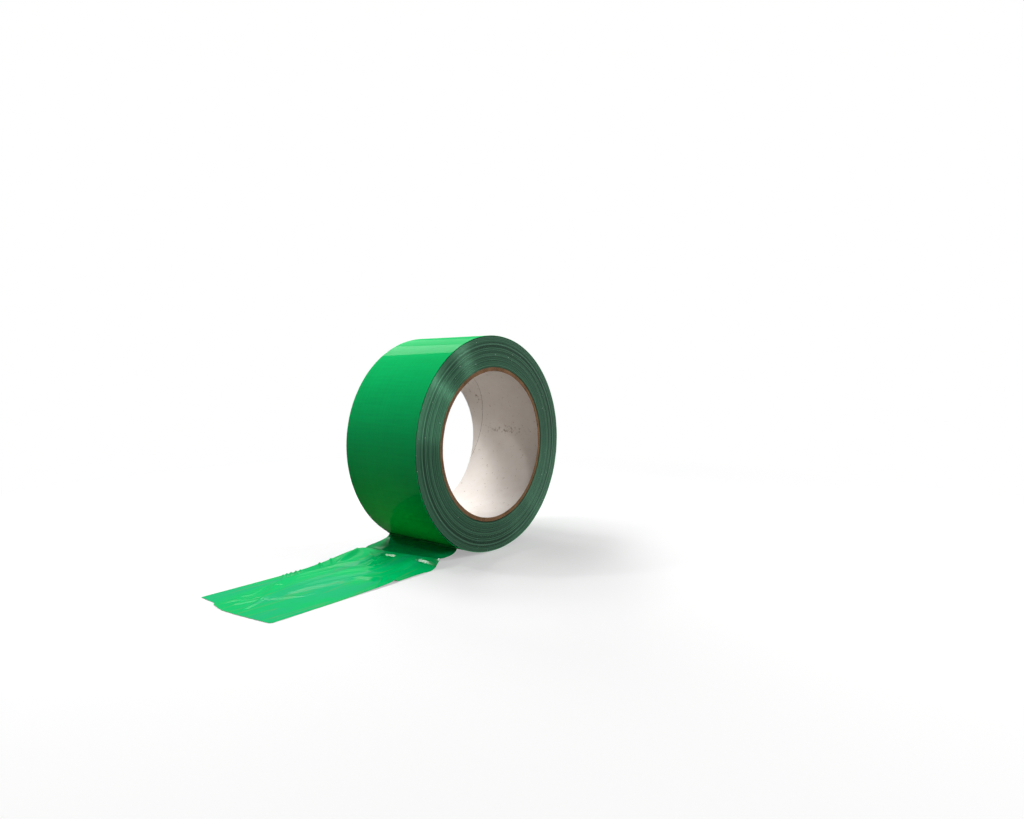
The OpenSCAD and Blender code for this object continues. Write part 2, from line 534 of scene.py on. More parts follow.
@dataclass(frozen=True)
class SlitEdges(Finish):
    """Edges of the wound turns, slit by rotary knives.

    Hundreds of cut edges lie side by side, so the end face is dull and grooved round: rings of differing
    tone, and a highlight that spreads along the radius. The rings' dark lines are partly painted shade in the
    gaps between turns, and their pale lines are painted highlight on edges that catch the light. Real edges
    are 0.05 mm wide; the rings of tone are drawn coarser so that they show.
    """

    sizes: RollSizes
    name: str = "polypropylene_edges_slit"
    # Dark ring lines: random tone, and painted shade in the gaps between turns
    dark: str = "#020F09"
    grey: str = "#11331F"
    green: str = "#08301B"
    # Pale ring lines: painted highlight on edges that catch the light
    pale: str = "#4C705B"
    scatter: str = "#86F0B8"
    band: float = 4.0
    band_detail: float = 1.0
    band_roughness: float = 0.5
    band_share: float = 0.2
    ring: float = 0.72
    ring_detail: float = 2.0
    ring_roughness: float = 0.6
    # The face is green by the core and grey by the rim, up to these distances from each
    green_w: float = 3.0
    grey_w: float = 4.0
    ring_shade_span: Pair = (0.58, 0.46)
    ring_shade_most: float = 0.95
    ring_highlight_span: Pair = (0.62, 0.76)
    ring_highlight_most: float = 0.75
    gloss_span: Pair = (0.45, 0.75)
    roughness: Pair = (0.28, 0.19)
    sheen_span: Pair = (0.48, 0.72)
    sheen: Pair = (0.4, 0.9)
    relief: Pair = (0.6, 0.1)

    def ring_noise(
        self, nodes: NodeBench, radius: Socket, gap: float, detail: float, roughness: float
    ) -> Socket:
        """Noise that changes with the radius only.

        Args:
            nodes: The material's node tree.
            radius: Distance from the roll's axis, in metres.
            gap: Size of its features.
            detail: Number of finer layers.
            roughness: How strong the finer layers are.
        Returns:
            The value.
        """
        inputs = {"W": radius, "Scale": 1 / (gap * MM), "Detail": detail, "Roughness": roughness}
        return nodes.node("ShaderNodeTexNoise", inputs, noise_dimensions="1D")

    def shade(self, nodes: NodeBench) -> dict[str, object]:
        """See the class."""
        radius = nodes.across_axis(nodes.place(), (1, 0, 1))
        broad = self.ring_noise(nodes, radius, self.band, self.band_detail, self.band_roughness)
        fine = self.ring_noise(nodes, radius, self.ring, self.ring_detail, self.ring_roughness)
        green_r = (self.sizes.pack_bore_r + self.green_w) * MM
        grey_r = (self.sizes.roll_r - self.grey_w) * MM
        colour = nodes.mix(nodes.ramp(radius, (green_r, grey_r)), self.green, self.grey)
        rings = nodes.math("MULTIPLY_ADD", broad, self.band_share, fine)
        # Dark ring lines add painted shade in the gaps, pale ring lines add painted highlight on the edges
        dark = nodes.ramp(rings, self.ring_shade_span, (0.0, self.ring_shade_most))
        pale = nodes.ramp(rings, self.ring_highlight_span, (0.0, self.ring_highlight_most))
        colour = nodes.mix(pale, nodes.mix(dark, colour, self.dark), self.pale)
        return {
            "Base Color": colour,
            "Normal": nodes.bump(rings, self.relief),
            "Tangent": nodes.node("ShaderNodeTangent", direction_type="UV_MAP", uv_map=RING_UV),
            "Roughness": nodes.ramp(rings, self.gloss_span, self.roughness),
            "Specular IOR Level": nodes.ramp(rings, self.sheen_span, self.sheen),
            "Specular Tint": linear(self.scatter),
            "Anisotropic": 1.0,
        }


@dataclass(frozen=True)
class KraftBoard(Finish):
    """Brown kraft board, wound in plies and sawn to length: matt, with flecks and short fibres."""

    name: str = "kraft_board_wound"
    dark: str = "#5E432C"
    light: str = "#8C6A4B"
    fleck: float = 0.55
    fleck_detail: float = 4.0
    fleck_roughness: float = 0.7
    blotch: float = 5.0
    tone_span: Pair = (0.7, 1.3)
    roughness: float = 0.88
    sheen: float = 0.2
    relief: Pair = (0.6, 0.06)

    def shade(self, nodes: NodeBench) -> dict[str, object]:
        """See the class."""
        place = nodes.place()
        fine = nodes.noise(place, self.fleck * MM, self.fleck_detail, self.fleck_roughness)
        tone = nodes.math("ADD", fine, nodes.noise(place, self.blotch * MM))
        return {
            "Base Color": nodes.mix(nodes.ramp(tone, self.tone_span), self.dark, self.light),
            "Normal": nodes.bump(fine, self.relief),
            "Roughness": self.roughness,
            "Specular IOR Level": self.sheen,
        }


@dataclass(frozen=True)
class Smudge:
    """A row of glue and dirt specks on the liner: its middle and half sizes, round the bore and along it."""

    round_mm: float
    along_mm: float
    half_round: float
    half_along: float


@dataclass(frozen=True)
class LinerPaper(Finish):
    """White liner paper, glued inside the core: matt, faintly mottled, with brown specks of glue and dirt."""

    name: str = "liner_paper_glued"
    white: str = "#F5EFE9"
    grey: str = "#F2EBE4"
    speck: str = "#8A7350"
    mottle: float = 6.0
    mottle_detail: float = 6.0
    mottle_span: Pair = (0.4, 0.62)
    speck_size: float = 2.2
    speck_detail: float = 5.0
    speck_roughness: float = 0.75
    speck_span: float = 0.13
    speck_most: float = 0.7
    # A smudge's specks need more of the noise from this share of its half size outwards
    fade_start: float = 0.3
    noise_needed: Pair = (0.5, 0.62)
    roughness: float = 0.62
    sheen: float = 0.25
    relief: Pair = (0.2, 0.03)
    smudges: tuple[Smudge, ...] = (
        Smudge(3.8, -1.0, 4.2, 28.0),
        Smudge(24.0, 14.0, 6.0, 4.5),
        Smudge(29.0, 18.0, 5.0, 3.0),
    )

    def shade(self, nodes: NodeBench) -> dict[str, object]:
        """See the class."""
        flat = nodes.flat()
        share = nodes.ramp(nodes.noise(flat, self.mottle, self.mottle_detail), self.mottle_span)
        paper = nodes.mix(share, self.white, self.grey)
        dots = nodes.noise(flat, self.speck_size, self.speck_detail, self.speck_roughness)
        for smudge in self.smudges:
            paper = nodes.mix(self.mark(nodes, flat, dots, smudge), paper, self.speck)
        return {
            "Base Color": paper,
            "Normal": nodes.bump(dots, self.relief),
            "Roughness": self.roughness,
            "Specular IOR Level": self.sheen,
        }

    def mark(self, nodes: NodeBench, flat: Socket, dots: Socket, smudge: Smudge) -> Socket:
        """How strong the specks of one smudge are.

        Args:
            nodes: The material's node tree.
            flat: Place on the unrolled liner.
            dots: Noise that breaks the smudge into specks.
            smudge: Its place and size.
        Returns:
            The strength, 0 outside the smudge.
        """
        middle = (-smudge.round_mm / smudge.half_round, -smudge.along_mm / smudge.half_along, 0)
        scale = (1 / smudge.half_round, 1 / smudge.half_along, 0)
        local = nodes.node("ShaderNodeMapping", {"Vector": flat, "Location": middle, "Scale": scale})
        needed = nodes.ramp(nodes.length(local), (self.fade_start, 1.0), self.noise_needed)
        over = nodes.math("SUBTRACT", dots, needed)
        return nodes.ramp(over, (0.0, self.speck_span), (0.0, self.speck_most))


@dataclass(frozen=True)
class LooseFibre(Finish):
    """Loose paper fibres and dust: dull and pale, with each piece a little different along its length."""

    name: str = "paper_fibre_loose"
    dark: str = "#8E6C4E"
    light: str = "#D9C3A5"
    change: float = 0.9
    roughness: float = 0.9
    sheen: float = 0.2

    def shade(self, nodes: NodeBench) -> dict[str, object]:
        """See the class."""
        tone = nodes.noise(nodes.place(), self.change * MM)
        return {
            "Base Color": nodes.mix(tone, self.dark, self.light),
            "Roughness": self.roughness,
            "Specular IOR Level": self.sheen,
        }


def link_object(name: str, data: bpy.types.ID) -> bpy.types.Object:
    """Makes an object of a mesh, lamp or camera and links it into the scene."""
    made = bpy.data.objects.new(name, data)
    bpy.context.scene.collection.objects.link(made)
    return made


def thin_shell(
    name: str,
    under: np.ndarray,
    over: np.ndarray,
    flat: np.ndarray,
    finishes: tuple[Finish, Finish],
    rim_finish: int = 0,
) -> bpy.types.Object:
    """Makes a closed sheet from its two faces.

    Args:
        name: Name of the piece.
        under: Underside as a grid of points, rows along the film and columns towards +Y.
        over: Upper side, with the same grid.
        flat: Place of each grid point on the flat film.
        finishes: Finish of the upper side, and of the underside.
        rim_finish: Which of the two the rim has.
    Returns:
        The object, smooth with sharp rims, with the flat places as its UV map.
    """
    rows, columns = under.shape[:2]
    count = rows * columns
    index = np.arange(count).reshape(rows, columns)
    upper = np.stack([index[:-1, :-1], index[:-1, 1:], index[1:, 1:], index[1:, :-1]], -1).reshape(-1, 4)
    loop = np.concatenate([index[0], index[1:, -1], index[-1, -2::-1], index[-2:0:-1, 0]])
    after = np.roll(loop, -1)
    rim = np.stack([loop, after, after + count, loop + count], -1)
    faces = np.concatenate([upper + count, rim, upper[:, ::-1]])
    points = np.concatenate([under, over]).reshape(-1, 3) * MM
    mesh = bpy.data.meshes.new(name)
    mesh.from_pydata(points.tolist(), [], faces.tolist())
    mesh.shade_smooth()
    mesh.set_sharp_from_angle(angle=math.radians(SHARP_RIM_DEG))
    for finish in finishes:
        mesh.materials.append(finish.material())
    kinds = np.repeat([0, rim_finish, 1], [len(upper), len(rim), len(upper)])
    mesh.polygons.foreach_set("material_index", kinds.astype(np.int32))
    places = np.concatenate([flat.reshape(-1, 2)] * 2)
    layer = mesh.uv_layers.new(name=FLAT_UV)
    layer.data.foreach_set("uv", places[faces.ravel()].astype(np.float32).ravel())
    return link_object(name, mesh)


class NodeShape(NodeBench):
    """A Geometry Nodes tree with named inputs, which becomes a plain mesh."""

    ring_steps = 96

    def __init__(self, name: str) -> None:
        """Starts an empty tree for the piece of that name."""
        super().__init__(bpy.data.node_groups.new(name, "GeometryNodeTree"))
        self.name = name
        self.tree.interface.new_socket("Mesh", in_out="OUTPUT", socket_type="NodeSocketGeometry")
        self.entry = self.node("NodeGroupInput").node
        self.values: dict[str, float | int] = {}

    def size(self, label: str, value: float | int) -> Socket:
        """Adds a named input to the tree.

        Args:
            label: Its name.
            value: What this piece sets it to.
        Returns:
            The socket that carries it.
        """
        kind = "NodeSocketInt" if isinstance(value, int) else "NodeSocketFloat"
        socket = self.tree.interface.new_socket(label, in_out="INPUT", socket_type=kind)
        self.values[socket.identifier] = value
        return find_socket(self.entry.outputs, socket.identifier)

    def place(self) -> Socket:
        """Place of each point, in metres."""
        return self.node("GeometryNodeInputPosition")

    def stored(self, shape: Socket, name: str, value: Socket, **settings: object) -> Socket:
        """Keeps a value on the shape under a name."""
        inputs = {"Geometry": shape, "Name": name, "Value": value}
        return self.node("GeometryNodeStoreNamedAttribute", inputs, **settings)

    def raised(self, shape: Socket, up: Socket) -> Socket:
        """Moves each point of the shape along Z."""
        offset = self.node("ShaderNodeCombineXYZ", {"Z": up})
        return self.node("GeometryNodeSetPosition", {"Geometry": shape, "Offset": offset})

    def swept(self, curve: Socket, section: Socket, closed: bool) -> Socket:
        """Moves a section along a curve, and closes its ends if asked."""
        inputs = {"Curve": curve, "Profile Curve": section, "Fill Caps": closed}
        return self.node("GeometryNodeCurveToMesh", inputs)

    def end_face(self, inner: float, outer: float, margin: float = 0.0) -> Socket:
        """Makes a flat ring on Z = 0.

        Args:
            inner: Its inner radius.
            outer: Its outer radius.
            margin: How far it stays inside both.
        Returns:
            The ring's mesh.
        """
        middle = (inner + outer) / 2 * MM
        half = ((outer - inner) / 2 - margin) * MM
        circle = {"Resolution": self.ring_steps, "Radius": middle}
        ring = self.node("GeometryNodeCurvePrimitiveCircle", circle)
        ring = self.node("GeometryNodeSetCurveNormal", {"Curve": ring}, mode="Z_UP")
        width = self.node("GeometryNodeCurvePrimitiveLine", {"Start": (-half, 0, 0), "End": (half, 0, 0)})
        return self.swept(ring, width, False)

    def random_vector(self, low: Triple, high: Triple, seed: int) -> Socket:
        """A random vector for each point, between two others."""
        inputs = {"Min": low, "Max": high, "Seed": seed}
        return self.node("FunctionNodeRandomValue", inputs, data_type="FLOAT_VECTOR")

    def scattered(
        self, spots: Socket, bit: Socket, tilt: float, size: Socket, seed: int, reach: float
    ) -> Socket:
        """Sets a small shape on each spot, and the whole on both ends of the roll.

        Args:
            spots: Points on Z = 0.
            bit: The small shape.
            tilt: Most that one leans, in radians.
            size: Scale of each.
            seed: Seed of their turns.
            reach: Distance of both ends from the roll's middle.
        Returns:
            All of them.
        """
        turn = self.random_vector((-tilt, -tilt, 0), (tilt, tilt, FULL_TURN), seed)
        bits = {"Points": spots, "Instance": bit, "Rotation": turn, "Scale": size}
        strewn = self.node("GeometryNodeInstanceOnPoints", bits)
        ends = self.node("GeometryNodeJoinGeometry")
        for side in (1, -1):
            turned = {"Translation": (0, -side * reach * MM, 0), "Rotation": (side * math.pi / 2, 0, 0)}
            placed = self.node("GeometryNodeTransform", {"Geometry": strewn, **turned})
            fill(ends.node, {"Geometry": placed})
        return ends

    def piece(self, shape: Socket, finish: Finish) -> bpy.types.Object:
        """Ends the tree, evaluates it and keeps the result as a plain mesh.

        Args:
            shape: Geometry to keep.
            finish: Its finish.
        Returns:
            The object, with no modifier left on it.
        """
        whole = self.node("GeometryNodeRealizeInstances", {"Geometry": shape})
        dressed = self.node("GeometryNodeSetMaterial", {"Geometry": whole, "Material": finish.material()})
        self.node("NodeGroupOutput", {"Mesh": dressed})
        made = link_object(self.name, bpy.data.meshes.new(self.name + "_source"))
        modifier = made.modifiers.new(self.name, "NODES")
        modifier.node_group = self.tree
        for identifier, value in self.values.items():
            modifier[identifier] = value
        graph = bpy.context.evaluated_depsgraph_get()
        mesh = bpy.data.meshes.new_from_object(
            made.evaluated_get(graph), preserve_all_data_layers=True, depsgraph=graph
        )
        made.modifiers.clear()
        made.data = mesh
        mesh.name = self.name
        return made


@dataclass
class WoundTurns:
    """The turns under the last one: one strip of film wound in a spiral."""

    sizes: RollSizes
    steps: int = 120
    layer_share: float = 0.9
    last_lay: float = 1.8
    stagger: float = 0.16
    stagger_run: float = 2.0
    stagger_detail: float = 3.0
    stagger_roughness: float = 0.65
    # Shifts in the noise: from one end face to the other, and for each metre across the roll
    side_shift: float = 9.0
    sway: float = 8.0

    def build(self) -> bpy.types.Object:
        """Winds the strip, staggers its turns and presses the foot."""
        sizes = self.sizes
        shape = NodeShape("wound_turns")
        node = shape.node
        first_r = (sizes.pack_bore_r + sizes.pitch / 2) * MM
        last_r = (sizes.roll_r - self.last_lay * sizes.pitch) * MM
        layer = shape.size("Layer thickness", self.layer_share * sizes.pitch * MM)
        width = shape.size("Tape width", sizes.tape_w * MM)
        spiral = node(
            "GeometryNodeCurveSpiral",
            {
                "Resolution": shape.size("Steps in a turn", self.steps),
                "Rotations": shape.size("Turns", float(sizes.turns - 1)),
                "Start Radius": shape.size("First turn radius", first_r),
                "End Radius": shape.size("Last turn radius", last_r),
                "Height": 0.0,
            },
        )
        wound = shape.stored(spiral, LAY_RADIUS, shape.length(shape.place()))
        wound = shape.stored(wound, ALONG, node("GeometryNodeSplineParameter", output="Length"))
        wound = node("GeometryNodeSetCurveNormal", {"Curve": wound}, mode="Z_UP")
        section = node("GeometryNodeCurvePrimitiveQuadrilateral", {"Width": layer, "Height": width})
        strip = self.staggered(shape, shape.swept(wound, section, True))
        to_axis = (math.pi / 2, -math.radians(sizes.peel_angle), 0)
        strip = node("GeometryNodeTransform", {"Geometry": strip, "Rotation": to_axis})
        strip = self.pressed(shape, strip)
        strip = node("GeometryNodeSetShadeSmooth", {"Geometry": strip, "Shade Smooth": False})
        made = shape.piece(strip, SlitEdges(sizes))
        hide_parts("tape_pack")
        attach(made, Body.ROLL.value)
        return made

    def staggered(self, shape: NodeShape, strip: Socket) -> Socket:
        """Draws each turn's edges in by its own amount, and stores the places round the rings.

        Args:
            shape: Tree that is being built.
            strip: The wound strip, with its axis along Z.
        Returns:
            The staggered strip.
        """
        node = shape.node
        most = shape.size("Stagger", self.stagger * MM)
        place = shape.place()
        parts = node("ShaderNodeSeparateXYZ", {0: place}).node.outputs
        lay = node("GeometryNodeInputNamedAttribute", {"Name": LAY_RADIUS})
        along = node("GeometryNodeInputNamedAttribute", {"Name": ALONG})
        side = shape.math("SIGN", parts["Z"])
        turn = shape.math("DIVIDE", lay, self.stagger_run * MM)
        sway = shape.math("MULTIPLY", parts["X"], self.sway)
        apart = shape.math("MULTIPLY_ADD", side, self.side_shift, sway)
        key = node("ShaderNodeCombineXYZ", {"X": turn, "Y": apart})
        noise = shape.noise(key, 1.0, self.stagger_detail, self.stagger_roughness)
        outward = shape.math("MULTIPLY", shape.math("MULTIPLY", noise, most), side)
        strip = shape.raised(strip, shape.math("MULTIPLY", outward, -1.0))
        across = shape.math("ADD", shape.across_axis(place, (1, 1, 0)), parts["Z"])
        ring = node("ShaderNodeCombineXYZ", {"X": across, "Y": along})
        return shape.stored(strip, RING_UV, ring, data_type="FLOAT2", domain="CORNER")

    def pressed(self, shape: NodeShape, strip: Socket) -> Socket:
        """Squeezes the foot as RollSizes.pressed does.

        Args:
            shape: Tree that is being built.
            strip: The strip, with its axis along Y.
        Returns:
            The pressed strip.
        """
        sizes = self.sizes
        start = shape.size("Press start", sizes.press_start * MM)
        span = shape.size("Press span", sizes.press_span * MM)
        rise = shape.size("Press rise", sizes.press_rise * MM)
        height = shape.node("ShaderNodeSeparateXYZ", {0: shape.place()}, output="Z")
        depth = shape.math("SUBTRACT", shape.math("MULTIPLY", height, -1.0), start)
        share = shape.math("DIVIDE", shape.math("MAXIMUM", depth, 0.0), span)
        return shape.raised(strip, shape.math("MULTIPLY", shape.math("POWER", share, 2.0), rise))


@dataclass
class OuterFilm:
    """The last turn of film, from under the peel line round the roll and back to it."""

    sizes: RollSizes
    steps_round: int = 420
    steps_across: int = 40
    dent: float = 0.05
    dents: Ripple = Ripple(5, (9.0, 60.0), (30.0, 200.0))
    edge_wave: float = 0.06
    edge_waves: Ripple = Ripple(8, (6.0, 400.0), (25.0, 900.0))
    # How far apart the two edges read their waves
    edge_apart: float = 60.0

    def build(self) -> bpy.types.Object:
        """Lays the film round the roll, with the slack of a hand-wound turn."""
        sizes = self.sizes
        share = np.linspace(1, 0, self.steps_round + 1)[:, None]
        across = np.linspace(-1, 1, self.steps_across + 1)[None, :]
        angle = np.radians(sizes.peel_angle - 360 * share)
        arc = FULL_TURN * sizes.roll_r * share
        slack = self.dents.at(arc, across * sizes.half_w)
        radius = sizes.roll_r - sizes.pitch * share - self.dent * slack
        edge = self.edge_waves.at(arc, np.sign(across) * self.edge_apart)
        y = across * (sizes.half_w - self.edge_wave * edge)
        under, over = (sizes.pressed(ring_points(r, angle, y)) for r in (radius - sizes.film_t, radius))
        flat = np.stack(np.broadcast_arrays(arc, y), -1)
        made = thin_shell("outer_film", under, over, flat, (WoundFilm(), AdhesiveFace()))
        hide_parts("outer_turn")
        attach(made, Body.ROLL.value)
        return made


@dataclass
class BoreLiner:
    """Kraft paper with a white face, which lines the bore: one strip wound in a helix, with a butt seam."""

    sizes: RollSizes
    seam_lead: float = 83.0
    seam_deg: float = 10.0
    seam_y: float = 17.0
    seam_gap: float = 0.45
    lip: float = 0.05
    lip_run: float = 1.6
    setback: float = 0.08
    wave: float = 0.06
    waves: Ripple = Ripple(22, (12.0, 10.0), (60.0, 50.0))
    end_wave: float = 0.12
    end_waves: Ripple = Ripple(21, (3.0, 300.0), (14.0, 900.0))
    # Power that keeps the ends' waves near the ends
    end_power: int = 20
    crowd: float = 0.12
    steps_round: int = 300
    steps_along: int = 80

    def build(self) -> bpy.types.Object:
        """Rolls the paper so that each row of the mesh starts and ends at the seam."""
        sizes = self.sizes
        along = np.linspace(1, -1, self.steps_along + 1)[None, :]
        share = np.linspace(0, 1, self.steps_round + 1)[:, None]
        # Rows crowd towards the seam, where the paper's edges curl into the bore
        share = share - self.crowd * np.sin(FULL_TURN * share) / FULL_TURN
        y = along * sizes.core_l / 2
        seam = self.seam_deg - (y - self.seam_y) / self.seam_lead * 360
        gap = math.degrees(self.seam_gap / sizes.bore_r)
        angle = np.radians(seam + gap / 2 + share * (360 - gap))
        from_seam = np.minimum(share, 1 - share) * FULL_TURN * sizes.bore_r
        ragged = self.end_waves.at(np.degrees(angle), along * 0)
        y = y - np.sign(along) * self.end_wave * ragged * np.abs(along) ** self.end_power
        uneven = self.waves.at(np.degrees(angle), y)
        curl = self.lip * np.clip(1 - from_seam / self.lip_run, 0, 1) ** 2
        inner = sizes.bore_r + self.setback + self.wave * (uneven - 0.5) - curl
        outer = np.full_like(inner, sizes.bore_r + sizes.liner_t)
        under, over = (ring_points(radius, angle, y) for radius in (outer, inner))
        turn = (np.degrees(angle) + 180) % 360 - 180
        flat = np.stack(np.broadcast_arrays(np.radians(turn) * sizes.bore_r, y), -1)
        made = thin_shell("bore_liner", under, over, flat, (LinerPaper(), KraftBoard()), rim_finish=1)
        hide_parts("core_liner")
        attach(made, Body.ROLL.value)
        return made


@dataclass
class CoreBoard:
    """The brown board plies, which keep their CAD shapes, and the fibres that stand out of the sawn ends."""

    sizes: RollSizes
    plies: tuple[str, ...] = ("core_inner_ply", "core_middle_ply", "core_outer_ply")
    fibres_per_mm2: float = 1.6
    fibre_l: float = 0.55
    fibre_r: float = 0.018
    fibre_sides: int = 3
    fibre_steps: int = 4
    fibre_rise: float = 0.12
    bend_share: float = 0.3
    bend_rise: float = 0.16
    tilt: float = 0.12
    scale: Pair = (0.4, 1.3)
    seed: int = 11

    def dress(self, nodes: dict[str, bpy.types.Object]) -> None:
        """Gives the CAD plies their board.

        Args:
            nodes: CAD objects by name.
        """
        for name in self.plies:
            for slot in nodes[name].material_slots:
                slot.material = KraftBoard().material()

    def fibre(self, shape: NodeShape) -> Socket:
        """Makes one short bent fibre.

        Args:
            shape: Tree that is being built.
        Returns:
            Its mesh.
        """
        node = shape.node
        length = shape.size("Fibre length", self.fibre_l * MM)
        radius = shape.size("Fibre radius", self.fibre_r * MM)
        bend_at = shape.math("MULTIPLY", length, self.bend_share)
        bend = node("ShaderNodeCombineXYZ", {"X": bend_at, "Z": self.bend_rise * MM})
        end = node("ShaderNodeCombineXYZ", {"X": length, "Z": self.fibre_rise * MM})
        course = {"Resolution": self.fibre_steps, "Start": (0, 0, 0), "Middle": bend, "End": end}
        path = node("GeometryNodeCurveQuadraticBezier", course)
        section = node("GeometryNodeCurvePrimitiveCircle", {"Resolution": self.fibre_sides, "Radius": radius})
        return shape.swept(path, section, True)

    def build(self) -> bpy.types.Object:
        """Scatters the fibres over both sawn ends."""
        sizes = self.sizes
        shape = NodeShape("board_fibres")
        spots = shape.node(
            "GeometryNodeDistributePointsOnFaces",
            {
                "Mesh": shape.end_face(sizes.board_r, sizes.pack_bore_r),
                "Density": shape.size("Fibres in a square metre", self.fibres_per_mm2 / MM**2),
                "Seed": shape.size("Seed", self.seed),
            },
        )
        scales = {"Min_001": self.scale[0], "Max_001": self.scale[1], "Seed": self.seed + 2}
        size = shape.node("FunctionNodeRandomValue", scales, output="Value_001", data_type="FLOAT")
        fibre = self.fibre(shape)
        fibres = shape.scattered(spots, fibre, self.tilt, size, self.seed + 1, sizes.core_l / 2)
        made = shape.piece(fibres, LooseFibre())
        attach(made, Body.ROLL.value)
        return made


@dataclass
class FaceDust:
    """Flecks of dust and film slivers that cling to the end faces, most of them near the rim."""

    sizes: RollSizes
    # Flecks in a square millimetre, by the core and by the rim
    density: Pair = (0.004, 0.03)
    fleck: float = 0.28
    fleck_shape: Triple = (1.0, 0.5, 0.1)
    fleck_cuts: int = 1
    smallest: Triple = (0.3, 0.3, 0.5)
    largest: Triple = (1.5, 1.0, 1.0)
    tilt: float = 0.1
    margin: float = 0.6
    inset: float = 0.1
    face_cuts: int = 3
    seed: int = 4
    slivers: LooseFibre = LooseFibre("film_slivers_cut", "#B7CBBD", WHITE)

    def build(self) -> bpy.types.Object:
        """Scatters the flecks over both end faces."""
        sizes = self.sizes
        shape = NodeShape("face_dust")
        node = shape.node
        face = shape.end_face(sizes.pack_bore_r, sizes.roll_r, self.margin)
        face = node("GeometryNodeSubdivideMesh", {"Mesh": face, "Level": self.face_cuts})
        span = (sizes.pack_bore_r * MM, sizes.roll_r * MM)
        per_mm2 = shape.ramp(shape.length(shape.place()), span, self.density)
        density = shape.math("MULTIPLY", per_mm2, 1 / MM**2)
        seed = shape.size("Seed", self.seed)
        spots = node("GeometryNodeDistributePointsOnFaces", {"Mesh": face, "Density": density, "Seed": seed})
        radius = shape.size("Fleck radius", self.fleck * MM)
        chip = node("GeometryNodeMeshIcoSphere", {"Radius": radius, "Subdivisions": self.fleck_cuts})
        chip = node("GeometryNodeTransform", {"Geometry": chip, "Scale": self.fleck_shape})
        size = shape.random_vector(self.smallest, self.largest, self.seed + 2)
        reach = sizes.half_w - self.inset
        flecks = shape.scattered(spots, chip, self.tilt, size, self.seed + 1, reach)
        made = shape.piece(flecks, self.slivers)
        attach(made, Body.ROLL.value)
        return made


@dataclass(frozen=True)
class Fold:
    """A crease in the laid film.

    Its line is a list of (run, y) points. The height is that of the middle of the line, and it fades to
    nothing at both ends. The film slopes down over back_w on the side towards +Y and front_w on the other.
    """

    line: tuple[Pair, ...]
    height: float
    back_w: float
    front_w: float
    bluntness: float = 0.25
    swell: float = 0.6
    end_power: float = 2.5

    def at(self, run: np.ndarray, y: np.ndarray) -> np.ndarray:
        """Height that the fold adds.

        Args:
            run: Run of each point.
            y: Place of each point across the film.
        Returns:
            An array of heights of the same shape.
        """
        best = np.full(run.shape, np.inf)
        side = np.zeros(run.shape)
        where = np.zeros(run.shape)
        points = np.array(self.line, float)
        lengths = np.linalg.norm(np.diff(points, axis=0), axis=1)
        start = 0.0
        for a, b, length in zip(points[:-1], points[1:], lengths):
            way = (b - a) / length
            t = np.clip((run - a[0]) * way[0] + (y - a[1]) * way[1], 0, length)
            off_y = y - a[1] - t * way[1]
            away = np.hypot(run - a[0] - t * way[0], off_y)
            closer = away < best
            best = np.where(closer, away, best)
            side = np.where(closer, off_y, side)
            where = np.where(closer, (start + t) / lengths.sum(), where)
            start += length
        width = np.where(side > 0, self.back_w, self.front_w)
        rounded = np.hypot(best, self.bluntness) - self.bluntness
        slope = np.clip(1 - rounded / width, 0, 1)
        profile = slope * slope * (1 + self.swell - self.swell * slope)
        return self.height * profile * (1 - np.abs(2 * where - 1) ** self.end_power)


@dataclass(frozen=True)
class Scarp:
    """A step that falls away from the crease, with an even slope that mirrors a lamp.

    It runs between two places across the film, and the distance past the crease and the drop are given for
    each of them. With a bow, the line's ends lie that much further past the crease than its middle does.
    Past the step, the film comes back to its course over the recover length.
    """

    y: Pair
    past: Pair
    width: float
    drop: Pair
    bow: float = 0.0
    recover: float = 20.0
    soft_end: float = 0.12

    def at(self, past: np.ndarray, y: np.ndarray) -> np.ndarray:
        """Height that the step takes away.

        Args:
            past: Distance of each point past the crease.
            y: Place of each point across the film.
        Returns:
            An array of heights of the same shape.
        """
        share = (y - self.y[0]) / (self.y[1] - self.y[0])
        beyond = past - between(self.past, share) - self.bow * (2 * share - 1) ** 2
        ramp = np.clip(beyond / self.width, 0, 1)
        back = 1 - smooth_step(beyond, self.width, self.width + self.recover)
        fade_in = smooth_step(share, -self.soft_end, self.soft_end)
        fade_out = 1 - smooth_step(share, 1 - self.soft_end, 1 + self.soft_end)
        return between(self.drop, share) * ramp * back * fade_in * fade_out


@dataclass(frozen=True)
class Notch:
    """A place where an edge of the film is drawn in: its run, depth and half width."""

    run: float
    depth: float
    half_w: float

    def at(self, run: np.ndarray) -> np.ndarray:
        """How far the edge is drawn in at each run."""
        return self.depth * np.exp(-(((run - self.run) / self.half_w) ** 2))


@dataclass(frozen=True)
class Blister:
    """The long flat-topped swelling of air under the laid film: middle and half sizes as (run, y)."""

    middle: Pair = (84.0, 6.0)
    half: Pair = (26.0, 9.5)
    height: float = 0.45
    flatness: int = 4

    def at(self, run: np.ndarray, y: np.ndarray) -> np.ndarray:
        """Height that it adds at each point."""
        off_run, off_y = (run - self.middle[0]) / self.half[0], (y - self.middle[1]) / self.half[1]
        return self.height * np.exp(-(off_run**self.flatness) - off_y**self.flatness)


@dataclass(frozen=True)
class Moat:
    """The dip before the crease, which is shallower towards both edges of the film."""

    depth: float = 1.2
    before: float = 2.0
    half_w: float = 1.6
    front_y: Pair = (-25.0, -14.0)
    front_share: float = 0.1
    back_y: Pair = (6.0, 22.0)
    back_share: float = 0.25

    def at(self, past: np.ndarray, y: np.ndarray) -> np.ndarray:
        """Depth at each point, from its distance past the crease and its place across the film."""
        front = between((self.front_share, 1.0), smooth_step(y, *self.front_y))
        back = between((1.0, self.back_share), smooth_step(y, *self.back_y))
        return self.depth * np.exp(-(((past + self.before) / self.half_w) ** 2)) * front * back


